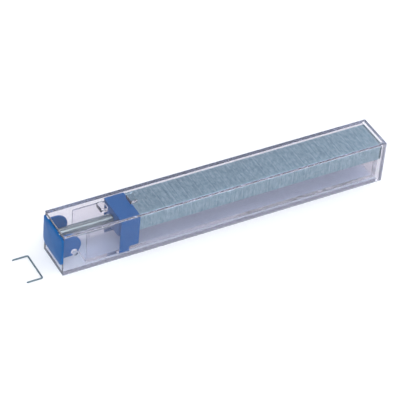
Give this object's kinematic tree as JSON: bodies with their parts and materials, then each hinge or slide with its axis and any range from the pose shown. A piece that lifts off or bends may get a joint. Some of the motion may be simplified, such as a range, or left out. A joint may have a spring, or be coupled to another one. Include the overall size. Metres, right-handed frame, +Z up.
{
  "type": "staple cassette",
  "caption": "Clear rectangular staple cassette with a blue snap-in end cap, a spring-driven blue pusher on an inner guide rail, a full stack of fine-wire staples and one loose staple.",
  "frame": {"origin": "middle of the cassette's flat underside", "axes": "+X along the cassette towards the end where the staples leave, +Z up through the top wall"},
  "size_m": [0.145, 0.0156, 0.0195],
  "materials": {
    "clear_plastic": "clear polished polystyrene with a faint lavender tint",
    "blue_plastic": "satin moulded blue",
    "staple_wire": "zinc-plated drawn wire, coated with clear glue",
    "bright_steel": "bright spring steel"
  },
  "bodies": {
    "cassette": {"housing": "clear_plastic", "guide_rail": "clear_plastic", "rear_cap": "blue_plastic", "guide_rod": "bright_steel", "push_spring": "bright_steel", "staple_strip_01": "staple_wire", "staple_strip_02": "staple_wire", "staple_strip_03": "staple_wire", "staple_strip_04": "staple_wire", "staple_strip_05": "staple_wire", "staple_strip_06": "staple_wire", "staple_strip_07": "staple_wire", "staple_strip_08": "staple_wire", "staple_strip_09": "staple_wire", "staple_strip_10": "staple_wire", "staple_strip_11": "staple_wire", "staple_strip_12": "staple_wire", "staple_strip_13": "staple_wire", "staple_strip_14": "staple_wire", "staple_strip_15": "staple_wire", "staple_strip_16": "staple_wire", "staple_strip_17": "staple_wire", "staple_strip_18": "staple_wire", "staple_strip_19": "staple_wire"},
    "pusher": {"pusher": "blue_plastic"},
    "front_staple": {"front_staple": "staple_wire"},
    "loose_staple": {"loose_staple": "staple_wire"}
  },
  "joints": [
    {"name": "pusher_slide", "type": "slide", "parent": "cassette", "child": "pusher", "axis": [1, 0, 0], "range_m": [0, 0.0993], "stiffness_N_per_m": 30, "springref_m": 0.146, "deforming": ["push_spring", "staple_strip_01", "staple_strip_02", "staple_strip_03", "staple_strip_04", "staple_strip_05", "staple_strip_06", "staple_strip_07", "staple_strip_08", "staple_strip_09", "staple_strip_10", "staple_strip_11", "staple_strip_12", "staple_strip_13", "staple_strip_14", "staple_strip_15", "staple_strip_16", "staple_strip_17", "staple_strip_18", "staple_strip_19"]},
    {"name": "front_staple_drive", "type": "slide", "parent": "cassette", "child": "front_staple", "axis": [0, 0, -1], "range_m": [0, 0.0175]},
    {"name": "loose_staple_slide", "type": "slide", "parent": "cassette", "child": "loose_staple", "axis": [-1, 0, 0], "range_m": [0, 0.02]}
  ]
}
